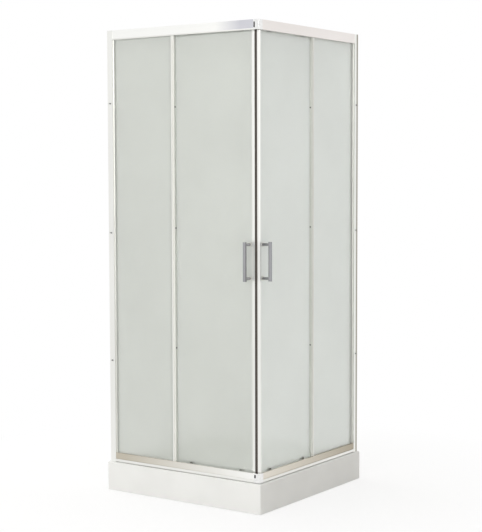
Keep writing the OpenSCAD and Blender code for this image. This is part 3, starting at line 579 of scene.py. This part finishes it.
# %% Start a tree, end it, and grow a mesh with it
def start_tree(name, sizes):
    tree = bpy.data.node_groups.new(name, "GeometryNodeTree")
    tree.interface.new_socket("Geometry", in_out="OUTPUT", socket_type="NodeSocketGeometry")
    tree.interface.new_socket("Geometry", in_out="INPUT", socket_type="NodeSocketGeometry")
    for label, value in sizes.items():
        kind = "NodeSocketInt" if isinstance(value, int) else "NodeSocketFloat"
        tree.interface.new_socket(label, in_out="INPUT", socket_type=kind)
    return tree, tree.nodes.new("NodeGroupInput").outputs


def end_tree(tree, copies, finish):
    real = add(tree, "GeometryNodeRealizeInstances", {"Geometry": copies})
    dressed = add(tree, "GeometryNodeSetMaterial", {"Geometry": real.outputs[0], "Material": finish})
    add(tree, "NodeGroupOutput", {0: dressed.outputs[0]})


def grow(name, tree, sizes, places, facings=None):
    """The tree's mesh on the points `places`, each with a direction that its piece faces."""
    seeds = bpy.data.meshes.new(name + "_seeds")
    seeds.from_pydata([tuple(p) for p in places], [], [])
    facing = seeds.attributes.new("facing", "FLOAT_VECTOR", "POINT")
    for i in range(len(places)):
        facing.data[i].vector = facings[i] if facings else (0, 0, 1)
    bed = bpy.data.objects.new(name + "_bed", seeds)
    bpy.context.scene.collection.objects.link(bed)
    modifier = bed.modifiers.new("grow", "NODES")
    modifier.node_group = tree
    for item in tree.interface.items_tree:
        if item.in_out == "INPUT" and item.name in sizes:
            modifier[item.identifier] = sizes[item.name]
    bed.update_tag()
    grown = bed.evaluated_get(bpy.context.evaluated_depsgraph_get())
    mesh = bpy.data.meshes.new_from_object(grown)
    mesh.name = name
    bed.modifiers.remove(modifier)
    bpy.data.objects.remove(bed)
    print(name, "grown:", len(mesh.polygons), "faces")
    return mesh


print("made the helpers that grow a mesh")

# %% [markdown]
# A cross-head screw is a low round head with a bevelled crown and two crossed slots, on a shank. The
# head is a cylinder whose upper half is drawn in, and the cross is cut out of it with two small
# bars. A bump could only hint at the slots, and would look flat from the side.

# %% Head of the cross-head screw
def screw_head(tree, size):
    """A head that stands on z 0, with its cross cut into the top."""
    head = add(tree, "GeometryNodeMeshCylinder", {
        "Vertices": 28, "Side Segments": 4,
        "Radius": size["Head radius"], "Depth": size["Head height"]})
    place = add(tree, "GeometryNodeInputPosition").outputs[0]
    split = add(tree, "ShaderNodeSeparateXYZ", {0: place})
    top = maths(tree, "MULTIPLY", size["Head height"], 0.5)
    crown = add(tree, "ShaderNodeMapRange", {
        "Value": split.outputs["Z"], "From Min": 0.0, "From Max": top,
        "To Min": 1.0, "To Max": size["Crown share"]}).outputs[0]
    slim = add(tree, "ShaderNodeCombineXYZ", {"X": crown, "Y": crown, "Z": 1.0})
    drawn = add(tree, "ShaderNodeVectorMath", {0: place, 1: slim.outputs[0]}, operation="MULTIPLY")
    head = add(tree, "GeometryNodeSetPosition", {
        "Geometry": head.outputs["Mesh"], "Position": drawn.outputs[0]})
    lift = add(tree, "ShaderNodeCombineXYZ", {"Z": top})
    head = add(tree, "GeometryNodeTransform", {
        "Geometry": head.outputs[0], "Translation": lift.outputs[0]})
    arm = maths(tree, "MULTIPLY", size["Head radius"], size["Slot length share"])
    width = maths(tree, "MULTIPLY", size["Head radius"], size["Slot width share"])
    crest = add(tree, "ShaderNodeCombineXYZ", {"Z": size["Head height"]})
    cut = add(tree, "GeometryNodeMeshBoolean", {0: head.outputs[0]}, operation="DIFFERENCE")
    for along, across in ((arm, width), (width, arm)):
        bar_size = add(tree, "ShaderNodeCombineXYZ", {
            "X": along, "Y": across, "Z": size["Head height"]})
        bar = add(tree, "GeometryNodeMeshCube", {"Size": bar_size.outputs[0]})
        bar = add(tree, "GeometryNodeTransform", {
            "Geometry": bar.outputs["Mesh"], "Translation": crest.outputs[0]})
        tree.links.new(bar.outputs[0], cut.inputs[1])
    return cut.outputs[0]


print("made the recipe of a screw head")

# %% [markdown]
# The tree joins the head to its shank, puts one on every point with its axis along the direction
# that is stored there, and turns each by a random angle, because no fitter leaves all crosses in
# line. The seed is fixed, so the angles are the same each time.

# %% Tree of the cross-head screw
def screw_shank(tree, size):
    shank = add(tree, "GeometryNodeMeshCylinder", {
        "Vertices": 16, "Radius": size["Shank radius"], "Depth": size["Shank length"]})
    down = maths(tree, "MULTIPLY", size["Shank length"], -0.5)
    sink = add(tree, "ShaderNodeCombineXYZ", {"Z": down})
    shank = add(tree, "GeometryNodeTransform", {
        "Geometry": shank.outputs["Mesh"], "Translation": sink.outputs[0]})
    return shank.outputs[0]


def screw_tree(finish, sizes):
    tree, size = start_tree("cross_head_screw", sizes)
    screw = add(tree, "GeometryNodeJoinGeometry", {0: screw_head(tree, size)})
    tree.links.new(screw_shank(tree, size), screw.inputs[0])
    facing = add(tree, "GeometryNodeInputNamedAttribute", {"Name": "facing"},
                 data_type="FLOAT_VECTOR")
    turn = add(tree, "FunctionNodeAlignRotationToVector", {"Vector": facing.outputs[0]}, axis="Z")
    copies = add(tree, "GeometryNodeInstanceOnPoints", {
        "Points": size["Geometry"], "Instance": screw.outputs[0], "Rotation": turn.outputs[0]})
    spin = add(tree, "FunctionNodeRandomValue", {
        "Min": 0.0, "Max": size["Largest turn"], "Seed": size["Seed"]}, data_type="FLOAT")
    spin_value = [o for o in spin.outputs if o.enabled and o.type == "VALUE"][0]
    angle = add(tree, "ShaderNodeCombineXYZ", {"Z": spin_value})
    spun = add(tree, "GeometryNodeRotateInstances", {
        "Instances": copies.outputs[0], "Rotation": angle.outputs[0], "Local Space": True})
    end_tree(tree, spun.outputs[0], finish)
    return tree


SCREW = {
    "Head radius": 0.0034, "Head height": 0.0018, "Shank radius": 0.0019, "Shank length": 0.0024,
    "Crown share": 0.78, "Slot length share": 1.1, "Slot width share": 0.26,
    "Largest turn": 1.5, "Seed": 7,
}
cross_screws = screw_tree(screw_steel, SCREW)
print("screw tree has", len(cross_screws.nodes), "nodes")

# %% [markdown]
# Three screws hold each jamb through the wall profile's slots, and three sit in the side of each
# fixed stile that faces the entry. Their places come from the frame itself: the box of each loose
# solid of the screw node gives one point, and its thin side tells which way the head faces. Python
# keeps a set in no fixed order, so the boxes are sorted by their place in tenths of a millimetre.
# Otherwise each run would deal the random angles to other screws.

# %% Screws of the two screens
SCREW_BEND = 40.0
PLACE_DIGITS = 4
SIDES = {"left": (Vector((0, -1, 0)), Vector((1, 0, 0))),
         "right": (Vector((1, 0, 0)), Vector((0, -1, 0)))}


def loose_boxes(node):
    """The box of every separate solid of a node, as a low and a high corner, sorted by place."""
    shape = merged(node)
    left, boxes = set(shape.verts), []
    while left:
        front, found = [left.pop()], []
        while front:
            vertex = front.pop()
            found.append(vertex.co.copy())
            for edge in vertex.link_edges:
                other = edge.other_vert(vertex)
                if other in left:
                    left.discard(other)
                    front.append(other)
        boxes.append((Vector([min(v[i] for v in found) for i in range(3)]),
                      Vector([max(v[i] for v in found) for i in range(3)])))
    shape.free()
    return sorted(boxes, key=lambda box: [round(c, PLACE_DIGITS) for c in box[0]])


for side, (outwards, to_entry) in SIDES.items():
    seats, facings = [], []
    for low, high in loose_boxes("frame_screws_" + side):
        middle, half = (low + high) / 2, (high - low) / 2
        facing = outwards if abs(half.dot(outwards)) < abs(half.dot(to_entry)) else to_entry
        reach = abs(half.dot(facing))
        seats.append(middle + facing * (reach - SCREW["Head height"]))
        facings.append(facing)
    mesh = grow("cross_screws_" + side, cross_screws, SCREW, seats, facings)
    shade_by_area(mesh, SCREW_BEND)
    stand_in("cross_screws_" + side, mesh, "frame_screws_" + side, screw_steel)

# %% [markdown]
# The tray's feet stand on threaded rods. A thread is a rule, so a fine cylinder is shaped by one:
# the distance of each point from the axis falls and rises with its height, and the height is
# shifted by the angle round the axis, which turns the rings into a screw line. Radius and length
# are measured on the rods of the frame.

# %% Threaded rods
ROD_BEND = 20.0


def rod_tree(finish, sizes):
    tree, size = start_tree("threaded_rod", sizes)
    turns = maths(tree, "DIVIDE", size["Length"], size["Pitch"])
    rings = maths(tree, "MULTIPLY", turns, size["Rings per turn"])
    bar = add(tree, "GeometryNodeMeshCylinder", {
        "Vertices": 20, "Side Segments": rings, "Radius": size["Radius"], "Depth": size["Length"]})
    place = add(tree, "GeometryNodeInputPosition").outputs[0]
    split = add(tree, "ShaderNodeSeparateXYZ", {0: place})
    angle = maths(tree, "ARCTAN2", split.outputs["Y"], split.outputs["X"])
    shift = maths(tree, "DIVIDE", angle, 2 * math.pi)
    height = maths(tree, "DIVIDE", split.outputs["Z"], size["Pitch"])
    wave = maths(tree, "PINGPONG", maths(tree, "SUBTRACT", height, shift), 0.5)
    groove = maths(tree, "MULTIPLY", maths(tree, "MULTIPLY", wave, 2.0), size["Depth share"])
    reach = maths(tree, "SUBTRACT", 1.0, groove)
    slim = add(tree, "ShaderNodeCombineXYZ", {"X": reach, "Y": reach, "Z": 1.0})
    cut = add(tree, "ShaderNodeVectorMath", {0: place, 1: slim.outputs[0]}, operation="MULTIPLY")
    rod = add(tree, "GeometryNodeSetPosition", {
        "Geometry": bar.outputs["Mesh"], "Position": cut.outputs[0]})
    copies = add(tree, "GeometryNodeInstanceOnPoints", {
        "Points": size["Geometry"], "Instance": rod.outputs[0]})
    end_tree(tree, copies.outputs[0], finish)
    return tree


rod_boxes = loose_boxes("tray_foot_rods")
first_low, first_high = rod_boxes[0]
ROD = {
    "Radius": (first_high.x - first_low.x) / 2, "Length": first_high.z - first_low.z,
    "Pitch": 0.0015, "Depth share": 0.16, "Rings per turn": 4.0,
}
rod_places = [(low + high) / 2 for low, high in rod_boxes]
rod_mesh = grow("threaded_rods", rod_tree(zinc_steel, ROD), ROD, rod_places)
shade_by_area(rod_mesh, ROD_BEND)
stand_in("threaded_rods", rod_mesh, "tray_foot_rods", zinc_steel)

# %% [markdown]
# Each foot pad is moulded with thin ribs from its hub to its rim, which stop the rim from bending.
# One rib is a small block whose outer end is pressed down, a ring of points carries twelve of them,
# and the ring is put on every foot.

# %% Ribs of the foot pads
RIB_FOOT = 0.0048
RIBS = {
    "Outer radius": 0.0236, "Inner radius": 0.010, "Thickness": 0.0016, "Height": 0.0042,
    "Press share": -0.8, "Ribs": 12,
}


def rib_tree(finish, sizes):
    tree, size = start_tree("pad_ribs", sizes)
    length = maths(tree, "SUBTRACT", size["Outer radius"], size["Inner radius"])
    block_size = add(tree, "ShaderNodeCombineXYZ", {
        "X": length, "Y": size["Thickness"], "Z": size["Height"]})
    block = add(tree, "GeometryNodeMeshCube", {"Size": block_size.outputs[0]})
    place = add(tree, "GeometryNodeInputPosition").outputs[0]
    split = add(tree, "ShaderNodeSeparateXYZ", {0: place})
    outer = maths(tree, "GREATER_THAN", split.outputs["X"], 0.0)
    upper = maths(tree, "GREATER_THAN", split.outputs["Z"], 0.0)
    pressed = maths(tree, "MULTIPLY", outer, upper)
    depth = maths(tree, "MULTIPLY", size["Height"], size["Press share"])
    drop = add(tree, "ShaderNodeCombineXYZ", {"Z": maths(tree, "MULTIPLY", pressed, depth)})
    wedge = add(tree, "GeometryNodeSetPosition", {
        "Geometry": block.outputs["Mesh"], "Offset": drop.outputs[0]})
    both_radii = maths(tree, "ADD", size["Outer radius"], size["Inner radius"])
    middle = maths(tree, "MULTIPLY", both_radii, 0.5)
    ring = add(tree, "GeometryNodeMeshCircle", {"Vertices": size["Ribs"], "Radius": middle})
    out = add(tree, "FunctionNodeAlignRotationToVector", {"Vector": place}, axis="X")
    ribs = add(tree, "GeometryNodeInstanceOnPoints", {
        "Points": ring.outputs["Mesh"], "Instance": wedge.outputs[0], "Rotation": out.outputs[0]})
    real = add(tree, "GeometryNodeRealizeInstances", {"Geometry": ribs.outputs[0]})
    copies = add(tree, "GeometryNodeInstanceOnPoints", {
        "Points": size["Geometry"], "Instance": real.outputs[0]})
    end_tree(tree, copies.outputs[0], finish)
    return tree


rib_middle = RIB_FOOT + RIBS["Height"] / 2
rib_places = [Vector(((low.x + high.x) / 2, (low.y + high.y) / 2, rib_middle))
              for low, high in loose_boxes("tray_foot_pads")]
rib_mesh = grow("pad_ribs", rib_tree(pad_plastic, RIBS), RIBS, rib_places)
stand_in("pad_ribs", rib_mesh, "tray_foot_pads", pad_plastic)

# %% [markdown]
# The studio. The camera, and every reflection and glass, sees the floor and the world as plain
# white paper, with a strength of 1. All other rays see a dim world, so the white costs no extra
# light on the object. A brighter lamp would whiten the paper too, but would bleach the tray.

# %% Rays that see the plain white background
def white_rays(tree):
    """1 for a camera ray, and for a ray that a metal mirrors or a glass lets through; else 0."""
    ray = add(tree, "ShaderNodeLightPath").outputs
    found = maths(tree, "MAXIMUM", ray["Is Camera Ray"], ray["Is Glossy Ray"])
    return maths(tree, "MAXIMUM", found, ray["Is Transmission Ray"])


print("made the white background's switch")

# %% [markdown]
# The world is the paper behind the object. It has two backgrounds: a pure white one that is only
# seen, and a dim warm one that only lights, which gives the shaded right face its warm tone.

# %% World
WHITE = (1.0, 1.0, 1.0, 1.0)
WARM = (1.0, 0.95, 0.86, 1.0)
WARM_STRENGTH = 0.35

world = bpy.data.worlds.new("studio")
bpy.context.scene.world = world
world.use_nodes = True
sky = world.node_tree
sky.nodes.clear()
seen = add(sky, "ShaderNodeBackground", {"Color": WHITE, "Strength": 1.0})
lights = add(sky, "ShaderNodeBackground", {"Color": WARM, "Strength": WARM_STRENGTH})
mix = add(sky, "ShaderNodeMixShader", {
    "Fac": white_rays(sky), 1: lights.outputs[0], 2: seen.outputs[0]})
add(sky, "ShaderNodeOutputWorld", {"Surface": mix.outputs[0]})
print("world made")

# %% [markdown]
# The floor is matt and pale. Seen by the camera it turns into pure white away from the object, so
# that no horizon shows, and near the object it keeps a quarter of its own shading for the shadow.

# %% Floor
FLOOR_HALF = 9
FADE_START, FADE_END = 0.5, 1.6
WHITE_NEAR, WHITE_FAR = 0.75, 1.0


def floor_finish():
    finish, tree, shader = start_finish("studio_floor", 0.9)
    shader.inputs["Base Color"].default_value = tone(250, 250, 250)
    glow = add(tree, "ShaderNodeEmission", {"Color": WHITE})
    place = add(tree, "ShaderNodeTexCoord").outputs["Object"]
    away = add(tree, "ShaderNodeVectorMath", {0: place}, operation="LENGTH")
    fade = add(tree, "ShaderNodeMapRange", {
        "Value": away.outputs["Value"], "From Min": FADE_START, "From Max": FADE_END,
        "To Min": WHITE_NEAR, "To Max": WHITE_FAR})
    share = maths(tree, "MULTIPLY", white_rays(tree), fade.outputs["Result"])
    blend = add(tree, "ShaderNodeMixShader", {
        "Fac": share, 1: shader.outputs[0], 2: glow.outputs[0]})
    tree.links.new(blend.outputs[0], tree.nodes["Material Output"].inputs["Surface"])
    return finish


floor_mesh = bpy.data.meshes.new("floor")
floor_mesh.from_pydata([(x * FLOOR_HALF, y * FLOOR_HALF, 0)
                        for x, y in ((-1, -1), (1, -1), (1, 1), (-1, 1))], [], [(0, 1, 2, 3)])
floor = bpy.data.objects.new("floor", floor_mesh)
bpy.context.scene.collection.objects.link(floor)
coat(floor, floor_finish())
print("floor made")

# %% [markdown]
# Three large lamps give soft light. The front lamp lights the left face more than the right, so the
# two faces of the enclosure differ a little in tone. The lamp on the wall side fills the inside, and
# the top lamp lights the tray's basin and its rim. Small lamps would throw hard shadows and streaks.

# %% Lamps
LAMP_SIDE = 3.0


def lamp(name, place, aim, power):
    data = bpy.data.lights.new(name, "AREA")
    data.shape = "SQUARE"
    data.size = LAMP_SIDE
    data.energy = power
    thing = bpy.data.objects.new(name, data)
    bpy.context.scene.collection.objects.link(thing)
    thing.location = place
    thing.rotation_euler = (Vector(aim) - Vector(place)).to_track_quat("-Z", "Y").to_euler()
    return thing


lamp("front_lamp", place=(0.9, -3.9, 2.2), aim=(0, 0, 0.6), power=70)
lamp("wall_side_lamp", place=(-5.0, 0.8, 1.4), aim=(0, 0, 1.0), power=150)
lamp("top_lamp", place=(0.0, 0.0, 5.5), aim=(0, 0, 0.5), power=120)
print("lamps made")

# %% [markdown]
# The camera stands in front of the entry corner, 1.38 m above the floor, and looks slightly down.
# Its place, its turn and its focal length come from a fit of the twelve outer corners of tray and
# frame. The frame of the picture is 482 by 532, so the 36 mm film side is the height.

# %% Camera
CAMERA_PLACE = (3.383, -4.818, 1.380)
LOOKS_DOWN, LEANS, TURNS = 4.03, 0.16, 34.82
FILM_SIDE, LENS = 36.0, 91.35
FARTHEST = 60

camera_data = bpy.data.cameras.new("camera")
camera = bpy.data.objects.new("camera", camera_data)
bpy.context.scene.collection.objects.link(camera)
camera_data.sensor_fit = "AUTO"
camera_data.sensor_width = FILM_SIDE
camera_data.lens = LENS
camera_data.clip_end = FARTHEST
camera.location = CAMERA_PLACE
camera.rotation_euler = (
    math.radians(90 - LOOKS_DOWN), math.radians(LEANS), math.radians(TURNS))
bpy.context.scene.camera = camera
bpy.context.scene.view_settings.view_transform = "Standard"
print("camera at", tuple(camera.location))
